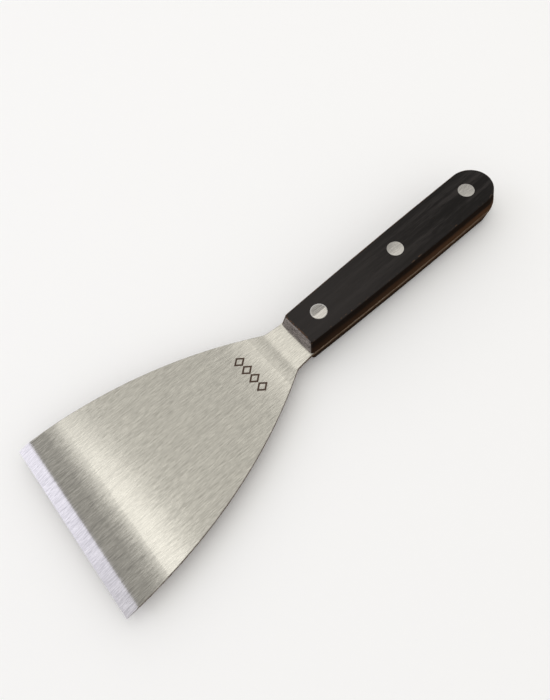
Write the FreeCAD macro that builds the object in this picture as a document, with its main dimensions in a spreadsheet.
import FreeCAD, Part

import math
import os

import Sketcher
from FreeCAD import Placement, Rotation, Vector

# A grill spatula: a fan-shaped steel blade with a full tang, two wood scales and three two-piece rivets.
# Part frame, in millimetres: +X runs from the butt to the blade's edge, +Z is up, the XZ plane is the plane
# of symmetry, and the origin is under the middle of the length, level with the lowest point of the handle.
# Each piece is drawn in a local frame of its own, with x = 0 where the scales end and the neck begins.

DIMENSIONS = [
    ("overall_length", 256.3, "butt to cutting edge"),
    ("handle_length", 128.5, "butt to the front of the scales"),
    ("front_width", 21.9, "width of the handle at the front of the scales"),
    ("side_radius", 3400.0, "plan radius of the handle's slightly swelling sides"),
    ("butt_radius", 12.6, "plan radius of the half-round butt"),
    ("scale_thickness", 8.2, "one scale, at its ridge"),
    ("ridge_flat", 3.0, "width of the flat left along the ridge, which the spatula can rest on"),
    ("crown_radius", 90.0, "section radius on each side of the ridge flat"),
    ("side_draft", 11.4, "lean of a scale's sides and butt, inwards from the tang, in degrees"),
    ("corner_rounding", 1.6, "plan radius of a scale's two front corners"),
    ("rim_rounding", 0.8, "rounding all round the crown"),
    ("front_rake", 1.8, "how far the front face of a scale leans back at its ridge"),
    ("tang_thickness", 1.8, "sheet thickness in the handle"),
    ("ground_step", 0.25, "how much the blade's top face is ground below the tang's"),
    ("step_start", 8.0, "where that grind begins"),
    ("step_radius", 80.0, "radius of the two arcs that blend it"),
    ("tip_width", 89.5, "width of the cutting edge"),
    ("flare_radius", 236.0, "plan radius of the blade's convex sides"),
    ("flare_centre", 129.8, "where those sides would become parallel"),
    ("neck_fillet", 6.0, "plan radius between the neck and the flare"),
    ("neck_angle", 5.0, "how much each side of the neck opens, in degrees"),
    ("bend_start", 105.5, "where the front of the blade starts to turn down"),
    ("bend_radius", 230.0, "radius of that bend, on the top face"),
    ("bend_angle", 2.0, "angle of that bend, in degrees"),
    ("bevel_width", 6.5, "width of the ground bevel behind the cutting edge"),
    ("bevel_angle", 12.8, "slope of that bevel to the tang, in degrees"),
    ("bevel_blend", 14.0, "radius that blends the bevel into the flat behind it"),
    ("edge_break", 0.25, "rounding of the blade's long edges"),
    ("first_rivet", 14.5, "front of the scales to the first rivet"),
    ("rivet_spacing", 49.0, "from one rivet to the next"),
    ("head_radius", 4.0, "rivet head"),
    ("head_seat", 3.3, "height of a head's underside above the tang"),
    ("shank_radius", 2.5, "outside of the socket half's shank"),
    ("shank_gap", 0.4, "socket's end to the other head"),
    ("pin_radius", 1.6, "pin half's pin, pressed into the socket"),
    ("pin_gap", 0.6, "pin's end to the bottom of the socket"),
    ("socket_roof", 2.5, "head left above the socket's bore"),
]

RIVET_PLACES = ["front", "mid", "rear"]

# Sketcher's numbers for a sketch's own axes, and for the points of a line or an arc
X_AXIS = -1
Y_AXIS = -2
START, END, CENTRE = 1, 2, 3
ORIGIN = (X_AXIS, START)

WASTE = 6.0  # how far a cutting sketch reaches past the material it removes
SHOULDER_ANGLE = 12.0  # how far round each shoulder the crown is cut, in degrees, to clear the handle's sides
NEAR = 0.1  # how near an edge lies to a plane that it is looked for in

# lengths that follow from the driving ones
REACH = "Dims.overall_length - Dims.handle_length"
BUTT_CENTRE = "Dims.handle_length - Dims.butt_radius"
SHANK_END = "Dims.tang_thickness + Dims.head_seat - Dims.shank_gap"
SOCKET_BOTTOM = "Dims.scale_thickness - Dims.socket_roof"
PIN_END = f"Dims.tang_thickness + {SOCKET_BOTTOM} - Dims.pin_gap"
BEVEL_START = f"{REACH} - Dims.bevel_width"
# the bevel starts on the flat front, and what lowers it there is the ground step, the bend's own drop and
# the slope after the bend
BEND = "(Dims.bend_angle * 1 deg)"
BEND_DROP = f"Dims.bend_radius * (1 - cos({BEND}))"
BEND_END = f"(Dims.bend_start + Dims.bend_radius * sin({BEND}))"
BEVEL_TOP = f"-Dims.ground_step - {BEND_DROP} - ({BEVEL_START} - {BEND_END}) * tan({BEND})"

doc = FreeCAD.newDocument("grill_spatula")


def make_sheet():
    sheet = doc.addObject("Spreadsheet::Sheet", "Dims")
    for row, (name, value, note) in enumerate(DIMENSIONS, start=1):
        sheet.set(f"A{row}", name)
        sheet.set(f"B{row}", str(value))
        sheet.set(f"C{row}", note)
        sheet.setAlias(f"B{row}", name)
    return sheet


make_sheet()
doc.recompute()


def evaluate(expression):
    """An expression's value, to lay a sketch out near where its constraints will hold it."""
    return float(doc.Dims.evalExpression(expression))


def dim(name):
    return evaluate(f"Dims.{name}")


# ---- helpers ----


def new_body(label):
    body = doc.addObject("PartDesign::Body", label)
    body.Label = label
    return body


def origin_feature(body, role):
    return next(f for f in body.Origin.OriginFeatures if f.Role == role)


def new_sketch(body, name, role):
    sketch = body.newObject("Sketcher::SketchObject", f"{body.Name}_{name}")
    sketch.AttachmentSupport = (origin_feature(body, role), [""])
    sketch.MapMode = "FlatFace"
    return sketch


def constrain(sketch, kind, *where):
    return sketch.addConstraint(Sketcher.Constraint(kind, *where))


def size(sketch, kind, where, name, expression=None):
    """A dimension that the sheet holds: by its own name, or by an expression. Angles are in degrees."""
    expression = expression or f"Dims.{name}"
    value = evaluate(expression)
    if kind == "Angle":
        value = math.radians(value)
        expression = f"({expression}) * 1 deg"
    index = constrain(sketch, kind, *where, value)
    sketch.renameConstraint(index, name)
    sketch.setExpression(f"Constraints.{name}", expression)


def join(sketch, kind, first, second):
    """Holds the end of one edge to the start of the next: kind is Coincident or Tangent."""
    constrain(sketch, kind, first[0], first[1], second[0], second[1])


def add_polygon(sketch, corners):
    """Adds a closed run of lines, each from one corner to the next, and returns them."""
    edges = [
        sketch.addGeometry(line(corner, following))
        for corner, following in zip(corners, corners[1:] + corners[:1])
    ]
    for edge, following in zip(edges, edges[1:] + edges[:1]):
        join(sketch, "Coincident", (edge, END), (following, START))
    return edges


def arc(centre, radius, start_angle, end_angle):
    """A counter-clockwise arc, with its angles in radians."""
    circle = Part.Circle(Vector(centre[0], centre[1], 0), Vector(0, 0, 1), radius)
    return Part.ArcOfCircle(circle, start_angle, end_angle)


def line(start, end):
    return Part.LineSegment(Vector(start[0], start[1], 0), Vector(end[0], end[1], 0))


def angle_of(centre, point):
    angle = math.atan2(point[1] - centre[1], point[0] - centre[0])
    return angle % (2 * math.pi)


def cut_through(body, sketch, name):
    """Pockets the sketch through the whole body, both ways, and makes sure that it removed something."""
    doc.recompute()
    before = body.Shape.Volume
    pocket = body.newObject("PartDesign::Pocket", f"{body.Name}_{name}")
    pocket.Profile = sketch
    pocket.Type = "ThroughAll"
    pocket.SideType = "Symmetric"
    doc.recompute()
    if not body.Shape.Volume < before:
        raise RuntimeError(f"{name} cut nothing from {body.Label}")
    return pocket


def repeat_along_handle(body, features, name):
    """Repeats a cut made at the first rivet at the other two."""
    doc.recompute()
    before = body.Shape.Volume
    pattern = body.newObject("PartDesign::LinearPattern", f"{body.Name}_{name}")
    pattern.Originals = features
    pattern.Direction = (origin_feature(body, "X_Axis"), [""])
    pattern.Reversed = True
    pattern.Occurrences = len(RIVET_PLACES)
    pattern.setExpression("Length", f"Dims.rivet_spacing * {len(RIVET_PLACES) - 1}")
    body.Tip = pattern
    doc.recompute()
    if not body.Shape.Volume < before:
        raise RuntimeError(f"{name} cut nothing from {body.Label}")
    return pattern


# ---- the plan of the handle, which the tang and both scales share ----


def handle_corners():
    """The butt's centre, the upper side arc's centre, where the two arcs meet, and the upper front corner."""
    butt_centre = (dim("butt_radius") - dim("handle_length"), 0.0)
    corner = (0.0, dim("front_width") / 2)
    # the butt's circle touches the side arc from inside, so their centres are the radii's difference apart
    reach = dim("side_radius") - dim("butt_radius")
    across = math.hypot(corner[0] - butt_centre[0], corner[1] - butt_centre[1])
    base = math.atan2(corner[1] - butt_centre[1], corner[0] - butt_centre[0])
    cosine = (across**2 + reach**2 - dim("side_radius") ** 2) / (2 * across * reach)
    direction = base - math.acos(cosine)
    side_centre = (
        butt_centre[0] + reach * math.cos(direction),
        butt_centre[1] + reach * math.sin(direction),
    )
    join_point = (
        butt_centre[0] - dim("butt_radius") * math.cos(direction),
        butt_centre[1] - dim("butt_radius") * math.sin(direction),
    )
    return butt_centre, side_centre, join_point, corner


def mirrored(point):
    return (point[0], -point[1])


def add_handle_plan(sketch):
    """Adds the upper side, the butt and the lower side, and returns them in that order."""
    butt_centre, side_centre, join_point, corner = handle_corners()
    upper = sketch.addGeometry(
        arc(
            side_centre,
            dim("side_radius"),
            angle_of(side_centre, corner),
            angle_of(side_centre, join_point),
        )
    )
    butt = sketch.addGeometry(
        arc(
            butt_centre,
            dim("butt_radius"),
            angle_of(butt_centre, join_point),
            angle_of(butt_centre, mirrored(join_point)),
        )
    )
    lower = sketch.addGeometry(
        arc(
            mirrored(side_centre),
            dim("side_radius"),
            angle_of(mirrored(side_centre), mirrored(join_point)),
            angle_of(mirrored(side_centre), mirrored(corner)),
        )
    )
    join(sketch, "Tangent", (upper, END), (butt, START))
    join(sketch, "Tangent", (butt, END), (lower, START))
    constrain(sketch, "Equal", upper, lower)
    constrain(sketch, "PointOnObject", butt, CENTRE, X_AXIS)
    constrain(sketch, "PointOnObject", upper, START, Y_AXIS)
    constrain(sketch, "Symmetric", upper, START, lower, END, X_AXIS)
    size(sketch, "Radius", (upper,), "side_radius")
    size(sketch, "Radius", (butt,), "butt_radius")
    size(sketch, "DistanceX", (butt, CENTRE, *ORIGIN), "butt_centre", BUTT_CENTRE)
    size(sketch, "DistanceY", (lower, END, upper, START), "front_width")
    return upper, butt, lower


# ---- the crown, which is cut on the scales and on the rivet heads alike ----


def crown(body):
    """Cuts the top to a flat ridge with a round shoulder on each side."""
    radius, flat, top = dim("crown_radius"), dim("ridge_flat") / 2, dim("scale_thickness")
    shoulder = math.radians(SHOULDER_ANGLE)
    sketch = new_sketch(body, "crown_plan", "YZ_Plane")
    foot = (flat + radius * math.sin(shoulder), top - radius + radius * math.cos(shoulder))
    height = top + WASTE
    right = sketch.addGeometry(
        arc((flat, top - radius), radius, math.pi / 2 - shoulder, math.pi / 2)
    )
    ridge = sketch.addGeometry(line((flat, top), (-flat, top)))
    left = sketch.addGeometry(
        arc((-flat, top - radius), radius, math.pi / 2, math.pi / 2 + shoulder)
    )
    left_wall = sketch.addGeometry(line((-foot[0], foot[1]), (-foot[0], height)))
    lid = sketch.addGeometry(line((-foot[0], height), (foot[0], height)))
    right_wall = sketch.addGeometry(line((foot[0], height), foot))
    join(sketch, "Tangent", (right, END), (ridge, START))
    join(sketch, "Tangent", (ridge, END), (left, START))
    join(sketch, "Coincident", (left, END), (left_wall, START))
    join(sketch, "Coincident", (left_wall, END), (lid, START))
    join(sketch, "Coincident", (lid, END), (right_wall, START))
    join(sketch, "Coincident", (right_wall, END), (right, START))
    constrain(sketch, "Horizontal", lid)
    constrain(sketch, "Vertical", left_wall)
    constrain(sketch, "Vertical", right_wall)
    constrain(sketch, "Equal", right, left)
    constrain(sketch, "Symmetric", ridge, START, ridge, END, Y_AXIS)
    size(sketch, "Radius", (right,), "crown_radius")
    size(sketch, "DistanceX", (ridge, END, ridge, START), "ridge_flat")
    size(sketch, "DistanceY", (*ORIGIN, ridge, START), "ridge_height", "Dims.scale_thickness")
    constrain(sketch, "DistanceX", *ORIGIN, right, START, foot[0])
    constrain(sketch, "DistanceX", left, END, *ORIGIN, foot[0])
    constrain(sketch, "DistanceY", *ORIGIN, lid, START, height)
    return cut_through(body, sketch, "crown")


# ---- scales ----


def round_hole(body, name, radius_name):
    """A circle at the first rivet's place, in the local XY plane."""
    sketch = new_sketch(body, name, "XY_Plane")
    circle = sketch.addGeometry(
        Part.Circle(Vector(-dim("first_rivet"), 0, 0), Vector(0, 0, 1), dim(radius_name))
    )
    constrain(sketch, "PointOnObject", circle, CENTRE, X_AXIS)
    size(sketch, "Radius", (circle,), "radius", f"Dims.{radius_name}")
    size(sketch, "DistanceX", (circle, CENTRE, *ORIGIN), "place", "Dims.first_rivet")
    return sketch


def make_scale(label):
    """One scale, lying on the local XY plane by its inner face, with its ridge up."""
    body = new_body(label)
    plan = new_sketch(body, "plan", "XY_Plane")
    upper, _, lower = add_handle_plan(plan)
    half = dim("front_width") / 2
    front = plan.addGeometry(line((0, -half), (0, half)))
    join(plan, "Coincident", (lower, END), (front, START))
    join(plan, "Coincident", (front, END), (upper, START))
    doc.recompute()
    block = body.newObject("PartDesign::Pad", f"{body.Name}_block")
    block.Profile = plan
    block.setExpression("Length", "Dims.scale_thickness")
    block.setExpression("TaperAngle", "-Dims.side_draft * 1 deg")

    crown(body)
    rake_front(body)
    round_scale(body)

    seat = round_hole(body, "head_plan", "head_radius")
    seat.setExpression("AttachmentOffset.Base.z", "Dims.head_seat")
    doc.recompute()
    before = body.Shape.Volume
    recess = body.newObject("PartDesign::Pocket", f"{body.Name}_recess")
    recess.Profile = seat
    recess.Type = "ThroughAll"
    recess.Reversed = True
    doc.recompute()
    if not body.Shape.Volume < before:
        raise RuntimeError(f"the rivet recess cut nothing from {label}")
    bore = cut_through(body, round_hole(body, "shank_plan", "shank_radius"), "bore")
    repeat_along_handle(body, [recess, bore], "rivet_holes")
    return body


def rake_front(body):
    """Leans the front face back from the tang up to the ridge."""
    sketch = new_sketch(body, "rake_plan", "XZ_Plane")
    rake, top = dim("front_rake"), dim("scale_thickness")
    slope, lid, wall, _ = add_polygon(sketch, [(0, 0), (-rake, top), (WASTE, top), (WASTE, 0)])
    constrain(sketch, "Coincident", slope, START, *ORIGIN)
    constrain(sketch, "Horizontal", lid)
    constrain(sketch, "Vertical", wall)
    constrain(sketch, "PointOnObject", wall, END, X_AXIS)
    constrain(sketch, "DistanceX", *ORIGIN, wall, END, WASTE)
    size(sketch, "DistanceX", (slope, END, *ORIGIN), "front_rake")
    size(sketch, "DistanceY", (*ORIGIN, slope, END), "ridge_height", "Dims.scale_thickness")
    return cut_through(body, sketch, "rake")


def round_edges(body, name, radius_name, chosen):
    """Rounds each edge that chosen picks by its box and its middle point."""
    doc.recompute()
    base = body.Tip
    names = []
    for index, edge in enumerate(base.Shape.Edges, start=1):
        middle = edge.valueAt((edge.FirstParameter + edge.LastParameter) / 2)
        if chosen(edge.BoundBox, middle):
            names.append(f"Edge{index}")
    before = base.Shape.Volume
    fillet = body.newObject("PartDesign::Fillet", f"{body.Name}_{name}")
    fillet.Base = (base, names)
    fillet.setExpression("Radius", f"Dims.{radius_name}")
    doc.recompute()
    if not fillet.Shape.Volume < before:
        raise RuntimeError(f"{name} rounded nothing on {body.Label}")


def round_scale(body):
    """Rounds the two front corners, then the rim of the crown all the way round."""
    front = -dim("front_rake") - NEAR
    butt = dim("butt_radius") - dim("handle_length")

    def is_corner(box, middle):
        """The edges that rise from the tang at the front."""
        return box.ZMin < NEAR < box.ZLength and box.XMin > front

    def is_rim(box, middle):
        """The edges where the crown ends, but not the two long ones beside the ridge's flat."""
        beside_ridge = box.XLength > dim("butt_radius") and abs(middle.y) < dim("ridge_flat")
        return box.ZMin > NEAR and not beside_ridge

    round_edges(body, "corners", "corner_rounding", is_corner)
    round_edges(body, "rim", "rim_rounding", is_rim)


# ---- blade ----


def make_blade():
    """The sheet, with the tang's top face on the local XY plane."""
    body = new_body("blade")
    section = side_section(body)
    doc.recompute()
    slab = body.newObject("PartDesign::Pad", "blade_slab")
    slab.Profile = section
    slab.SideType = "Symmetric"
    slab.setExpression("Length", f"Dims.tip_width + {WASTE}")
    cut_through(body, blade_plan(body), "outline")

    def is_long_edge(box, middle):
        """The edges along both sides, from the front of the scales to the cutting edge."""
        return box.XMin > -NEAR and box.XLength > NEAR

    round_edges(body, "edge_break", "edge_break", is_long_edge)
    cut_through(body, bevel_plan(body), "bevel")
    bore = cut_through(body, round_hole(body, "shank_plan", "shank_radius"), "bore")
    repeat_along_handle(body, [bore], "rivet_holes")
    return body


def side_section(body):
    """The sheet seen from the side: the tang, the ground step and the turned-down front."""
    sketch = new_sketch(body, "section", "XZ_Plane")
    back = -dim("handle_length") - WASTE
    reach = dim("overall_length") - dim("handle_length")
    tang, step, radius = dim("tang_thickness"), dim("ground_step"), dim("step_radius")
    turn = math.acos(1 - step / (2 * radius))
    step_end = dim("step_start") + 2 * radius * math.sin(turn)
    bend_start, bend_radius = dim("bend_start"), dim("bend_radius")
    bend = math.radians(dim("bend_angle"))
    thickness = tang - step
    down = math.pi / 2 - bend
    bend_centre = (bend_start, -step - bend_radius)

    def on_bend(distance):
        """The point this far from the bend's centre, where the bend ends."""
        return (bend_centre[0] + distance * math.cos(down), bend_centre[1] + distance * math.sin(down))

    def along_front(point, x):
        """The point at x on the line that leaves the bend at this one."""
        return (x, point[1] - (x - point[0]) * math.tan(bend))

    top_turn = on_bend(bend_radius)
    bottom_turn = on_bend(bend_radius - thickness)
    front_corner = along_front(top_turn, reach)
    lower_corner = along_front(bottom_turn, reach)
    first_centre = (dim("step_start"), -radius)
    second_centre = (step_end, -step + radius)

    tang_top = sketch.addGeometry(line((back, 0), (dim("step_start"), 0)))
    falling = sketch.addGeometry(arc(first_centre, radius, math.pi / 2 - turn, math.pi / 2))
    levelling = sketch.addGeometry(
        arc(second_centre, radius, 3 * math.pi / 2 - turn, 3 * math.pi / 2)
    )
    blade_top = sketch.addGeometry(line((step_end, -step), (bend_start, -step)))
    top_bend = sketch.addGeometry(arc(bend_centre, bend_radius, down, math.pi / 2))
    front_top = sketch.addGeometry(line(top_turn, front_corner))
    front = sketch.addGeometry(line(front_corner, lower_corner))
    front_bottom = sketch.addGeometry(line(lower_corner, bottom_turn))
    bottom_bend = sketch.addGeometry(arc(bend_centre, bend_radius - thickness, down, math.pi / 2))
    bottom = sketch.addGeometry(line((bend_start, -tang), (back, -tang)))
    end = sketch.addGeometry(line((back, -tang), (back, 0)))

    join(sketch, "Tangent", (tang_top, END), (falling, END))
    join(sketch, "Tangent", (falling, START), (levelling, START))
    join(sketch, "Tangent", (levelling, END), (blade_top, START))
    join(sketch, "Tangent", (blade_top, END), (top_bend, END))
    join(sketch, "Tangent", (top_bend, START), (front_top, START))
    join(sketch, "Coincident", (front_top, END), (front, START))
    join(sketch, "Coincident", (front, END), (front_bottom, START))
    join(sketch, "Tangent", (front_bottom, END), (bottom_bend, START))
    join(sketch, "Tangent", (bottom_bend, END), (bottom, START))
    join(sketch, "Coincident", (bottom, END), (end, START))
    join(sketch, "Coincident", (end, END), (tang_top, START))
    join(sketch, "Coincident", (top_bend, CENTRE), (bottom_bend, CENTRE))
    constrain(sketch, "PointOnObject", tang_top, START, X_AXIS)
    constrain(sketch, "Horizontal", tang_top)
    constrain(sketch, "Horizontal", blade_top)
    constrain(sketch, "Horizontal", bottom)
    constrain(sketch, "Vertical", end)
    constrain(sketch, "Vertical", front)
    constrain(sketch, "Parallel", front_top, front_bottom)
    constrain(sketch, "Equal", falling, levelling)
    constrain(sketch, "DistanceX", tang_top, START, *ORIGIN, -back)
    size(sketch, "DistanceX", (*ORIGIN, tang_top, END), "step_start")
    size(sketch, "DistanceX", (*ORIGIN, blade_top, END), "bend_start")
    size(sketch, "DistanceY", (blade_top, END, *ORIGIN), "ground_step")
    size(sketch, "DistanceY", (end, START, end, END), "tang_thickness")
    size(sketch, "DistanceX", (*ORIGIN, front, START), "reach", REACH)
    size(sketch, "Radius", (falling,), "step_radius")
    size(sketch, "Radius", (top_bend,), "bend_radius")
    size(sketch, "Angle", (front_top,), "bend_angle", "-Dims.bend_angle")
    return sketch


def bevel_plan(body):
    """What is ground off the top behind the cutting edge, blended into the flat by an arc."""
    sketch = new_sketch(body, "bevel_plan", "XZ_Plane")
    corner = (evaluate(BEVEL_START), evaluate(BEVEL_TOP))
    bend, slope = math.radians(dim("bend_angle")), math.radians(dim("bevel_angle"))
    radius = dim("bevel_blend")
    run = radius * math.tan((slope - bend) / 2)
    end = evaluate(REACH) + WASTE
    blend_start = (corner[0] - run * math.cos(bend), corner[1] + run * math.sin(bend))
    blend_end = (corner[0] + run * math.cos(slope), corner[1] - run * math.sin(slope))
    centre = (blend_start[0] - radius * math.sin(bend), blend_start[1] - radius * math.cos(bend))
    bottom = (end, corner[1] - (end - corner[0]) * math.tan(slope))

    flat = sketch.addGeometry(line(blend_start, corner), True)
    blend = sketch.addGeometry(arc(centre, radius, math.pi / 2 - slope, math.pi / 2 - bend))
    bevel = sketch.addGeometry(line(blend_end, bottom))
    front_wall = sketch.addGeometry(line(bottom, (end, WASTE)))
    lid = sketch.addGeometry(line((end, WASTE), (blend_start[0], WASTE)))
    back_wall = sketch.addGeometry(line((blend_start[0], WASTE), blend_start))
    join(sketch, "Tangent", (flat, START), (blend, END))
    join(sketch, "Tangent", (blend, START), (bevel, START))
    join(sketch, "Coincident", (bevel, END), (front_wall, START))
    join(sketch, "Coincident", (front_wall, END), (lid, START))
    join(sketch, "Coincident", (lid, END), (back_wall, START))
    join(sketch, "Coincident", (back_wall, END), (blend, END))
    constrain(sketch, "PointOnObject", flat, END, bevel)
    constrain(sketch, "Vertical", front_wall)
    constrain(sketch, "Horizontal", lid)
    constrain(sketch, "Vertical", back_wall)
    constrain(sketch, "DistanceX", *ORIGIN, front_wall, START, end)
    constrain(sketch, "DistanceY", *ORIGIN, lid, START, WASTE)
    size(sketch, "DistanceX", (*ORIGIN, flat, END), "bevel_start", BEVEL_START)
    size(sketch, "DistanceY", (*ORIGIN, flat, END), "bevel_top", BEVEL_TOP)
    size(sketch, "Angle", (flat,), "bend_angle", "-Dims.bend_angle")
    size(sketch, "Angle", (bevel,), "bevel_angle", "-Dims.bevel_angle")
    size(sketch, "Radius", (blend,), "bevel_blend")
    return sketch


def blade_plan(body):
    """The waste round the blade's outline, between that outline and a larger rectangle."""
    sketch = new_sketch(body, "plan", "XY_Plane")
    upper_side, _, lower_side = add_handle_plan(sketch)
    reach = dim("overall_length") - dim("handle_length")
    half_tip, half_front = dim("tip_width") / 2, dim("front_width") / 2
    flare, fillet = dim("flare_radius"), dim("neck_fillet")
    slope = math.radians(dim("neck_angle"))
    flare_centre = (
        dim("flare_centre"),
        half_tip - math.sqrt(flare**2 - (dim("flare_centre") - reach) ** 2),
    )
    # the fillet's centre is its radius away from the neck's side, and both radii away from the flare's centre
    offset_start = (-fillet * math.sin(slope), half_front + fillet * math.cos(slope))
    along = (math.cos(slope), math.sin(slope))
    gap = (offset_start[0] - flare_centre[0], offset_start[1] - flare_centre[1])
    b = gap[0] * along[0] + gap[1] * along[1]
    c = gap[0] ** 2 + gap[1] ** 2 - (flare + fillet) ** 2
    run = -b - math.sqrt(b * b - c)
    fillet_centre = (offset_start[0] + run * along[0], offset_start[1] + run * along[1])
    neck_end = (run * along[0], half_front + run * along[1])
    outward = angle_of(flare_centre, fillet_centre)
    flare_start = (
        flare_centre[0] + flare * math.cos(outward),
        flare_centre[1] + flare * math.sin(outward),
    )
    tip = (reach, half_tip)

    def add_side(flip):
        """The neck's side, its fillet and the flare, above the axis or mirrored below it."""
        seen = mirrored if flip else tuple
        neck = sketch.addGeometry(line(seen((0, half_front)), seen(neck_end)))
        ends = [
            angle_of(seen(fillet_centre), seen(neck_end)),
            angle_of(seen(fillet_centre), seen(flare_start)),
        ]
        if flip:
            ends.reverse()
        blend = sketch.addGeometry(arc(seen(fillet_centre), fillet, *ends))
        ends = [angle_of(seen(flare_centre), seen(tip)), angle_of(seen(flare_centre), seen(flare_start))]
        if flip:
            ends.reverse()
        edge = sketch.addGeometry(arc(seen(flare_centre), flare, *ends))
        first, last = (END, START) if flip else (START, END)
        join(sketch, "Tangent", (neck, END), (blend, first))
        join(sketch, "Tangent", (blend, last), (edge, last))
        return neck, blend, edge, first

    neck, blend, edge, edge_tip = add_side(flip=False)
    low_neck, low_blend, low_edge, low_tip = add_side(flip=True)
    front = sketch.addGeometry(line((reach, -half_tip), (reach, half_tip)))
    join(sketch, "Coincident", (neck, START), (upper_side, START))
    join(sketch, "Coincident", (low_neck, START), (lower_side, END))
    join(sketch, "Coincident", (edge, edge_tip), (front, END))
    join(sketch, "Coincident", (low_edge, low_tip), (front, START))
    constrain(sketch, "Symmetric", front, START, front, END, X_AXIS)
    constrain(sketch, "Equal", edge, low_edge)
    constrain(sketch, "Equal", blend, low_blend)
    constrain(sketch, "Equal", neck, low_neck)
    constrain(sketch, "Vertical", edge, CENTRE, low_edge, CENTRE)
    size(sketch, "Radius", (edge,), "flare_radius")
    size(sketch, "Radius", (blend,), "neck_fillet")
    size(sketch, "Angle", (neck,), "neck_angle")
    size(sketch, "DistanceX", (*ORIGIN, edge, CENTRE), "flare_centre")
    size(sketch, "DistanceY", (front, START, front, END), "tip_width")
    size(sketch, "DistanceX", (*ORIGIN, front, END), "reach", REACH)
    add_waste_border(sketch, -dim("handle_length") - 2 * WASTE, reach + WASTE, half_tip + WASTE)
    return sketch


def add_waste_border(sketch, left, right, half):
    corners = [(left, -half), (right, -half), (right, half), (left, half)]
    bottom, right_wall, top, left_wall = add_polygon(sketch, corners)
    constrain(sketch, "Horizontal", bottom)
    constrain(sketch, "Horizontal", top)
    constrain(sketch, "Vertical", right_wall)
    constrain(sketch, "Vertical", left_wall)
    constrain(sketch, "DistanceX", bottom, START, *ORIGIN, -left)
    constrain(sketch, "DistanceX", *ORIGIN, bottom, END, right)
    constrain(sketch, "DistanceY", bottom, END, *ORIGIN, half)
    constrain(sketch, "DistanceY", *ORIGIN, right_wall, END, half)


# ---- rivets ----


def make_rivet(label, radii, levels):
    """Half a rivet, drawn like the scale that it fills: the scale's inner face at z = 0, its ridge up."""
    body = new_body(label)
    profile = new_sketch(body, "profile", "XZ_Plane")
    add_turned_profile(profile, radii, levels)
    doc.recompute()
    turned = body.newObject("PartDesign::Revolution", f"{body.Name}_turned")
    turned.Profile = profile
    turned.ReferenceAxis = (origin_feature(body, "Z_Axis"), [""])
    crown(body)
    return body


def make_socket(label):
    """The half with a hollow shank, which reaches through the tang almost to the other head."""
    radii = ["head_radius", "shank_radius", "pin_radius"]
    levels = ["Dims.scale_thickness", "Dims.head_seat", f"-({SHANK_END})", SOCKET_BOTTOM]
    return make_rivet(label, radii, levels)


def make_pin(label):
    """The half with a solid pin, pressed into the socket."""
    levels = ["Dims.scale_thickness", "Dims.head_seat", f"-({PIN_END})"]
    return make_rivet(label, ["head_radius", "pin_radius"], levels)


def add_turned_profile(sketch, radii, levels):
    """Steps between the levels at each radius in turn, out from the axis at the top and back to it."""
    walls = [dim(name) for name in radii] + [0.0]
    heights = [evaluate(level) for level in levels]
    corners = [(0.0, heights[0])]
    for index, wall in enumerate(walls[:-1]):
        corners += [(wall, heights[index]), (wall, heights[index + 1])]
    corners.append((0.0, heights[-1]))
    edges = add_polygon(sketch, corners)
    treads, risers = edges[0::2], edges[1::2]
    for tread in treads:
        constrain(sketch, "Horizontal", tread)
    for riser in risers:
        constrain(sketch, "Vertical", riser)
    constrain(sketch, "PointOnObject", treads[0], START, Y_AXIS)
    for riser, name in zip(risers, radii):
        size(sketch, "DistanceX", (*ORIGIN, riser, START), name)
    for index, (tread, level) in enumerate(zip(treads, levels)):
        size(sketch, "DistanceY", (*ORIGIN, tread, START), f"level_{index}", level)


# ---- the object ----


def stand(body, side, x="0"):
    """Puts a piece of one scale in its place: above the tang, or turned over below it."""
    shift = f"Dims.handle_length - Dims.overall_length / 2 + {x}"
    body.setExpression(".Placement.Base.x", shift)
    if side == "upper":
        body.setExpression(".Placement.Base.z", "Dims.scale_thickness + Dims.tang_thickness")
    else:
        body.Placement = Placement(Vector(), Rotation(Vector(1, 0, 0), 180))
        body.setExpression(".Placement.Base.z", "Dims.scale_thickness")


pieces = [make_blade(), make_scale("scale_upper"), make_scale("scale_lower")]
stand(pieces[0], "upper")
stand(pieces[1], "upper")
stand(pieces[2], "lower")
for number, position in enumerate(RIVET_PLACES):
    x = f"-Dims.first_rivet - {number} * Dims.rivet_spacing"
    socket = make_socket(f"rivet_{position}_socket")
    pin = make_pin(f"rivet_{position}_pin")
    stand(socket, "upper", x)
    stand(pin, "lower", x)
    pieces += [socket, pin]
doc.recompute()

failed = [item.Name for item in doc.Objects if "Invalid" in item.State or "Error" in item.State]
if failed:
    raise RuntimeError(f"these objects failed to build: {failed}")
for piece in pieces:
    if piece.Shape.isNull() or not piece.Shape.isValid():
        raise RuntimeError(f"{piece.Label} has no valid shape")

os.makedirs("parts", exist_ok=True)
for piece in pieces:
    piece.Shape.exportStep(f"parts/{piece.Label}.step")
    box = piece.Shape.BoundBox
    corners = [box.XMin, box.XMax, box.YMin, box.YMax, box.ZMin, box.ZMax]
    print(piece.Label, round(piece.Shape.Volume, 1), [round(value, 2) for value in corners])
